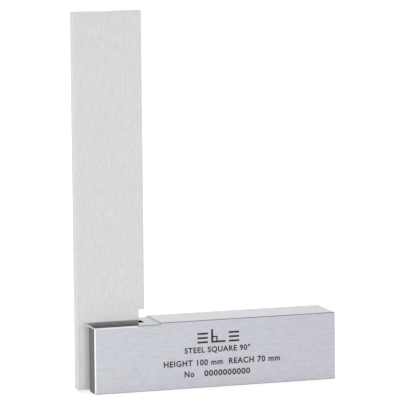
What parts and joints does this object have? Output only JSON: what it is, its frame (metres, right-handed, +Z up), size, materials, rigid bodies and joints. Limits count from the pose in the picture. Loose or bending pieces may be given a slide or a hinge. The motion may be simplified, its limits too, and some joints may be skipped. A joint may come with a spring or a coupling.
{
  "type": "precision steel square with wide base",
  "caption": "Machinist's precision square: a flat ground steel blade set upright in a slot in a wide steel stock, pinned and relieved at the inner corner.",
  "frame": {"origin": "middle of the whole square's footprint, on the plane of the stock's base face", "axes": "+Z up the blade, +X along the stock away from the blade, +Y through the stock's thickness, away from the side that is normally read"},
  "size_m": [0.07, 0.013, 0.1],
  "materials": {
    "ground_steel": "surface-ground satin stainless steel",
    "lapped_steel": "fine-ground and lapped stainless steel",
    "pin_steel": "ground flush with the stock"
  },
  "bodies": {
    "root": {"stock": "ground_steel", "blade": "lapped_steel", "dowel_pin_1": "pin_steel", "dowel_pin_2": "pin_steel", "dowel_pin_3": "pin_steel"}
  },
  "joints": []
}
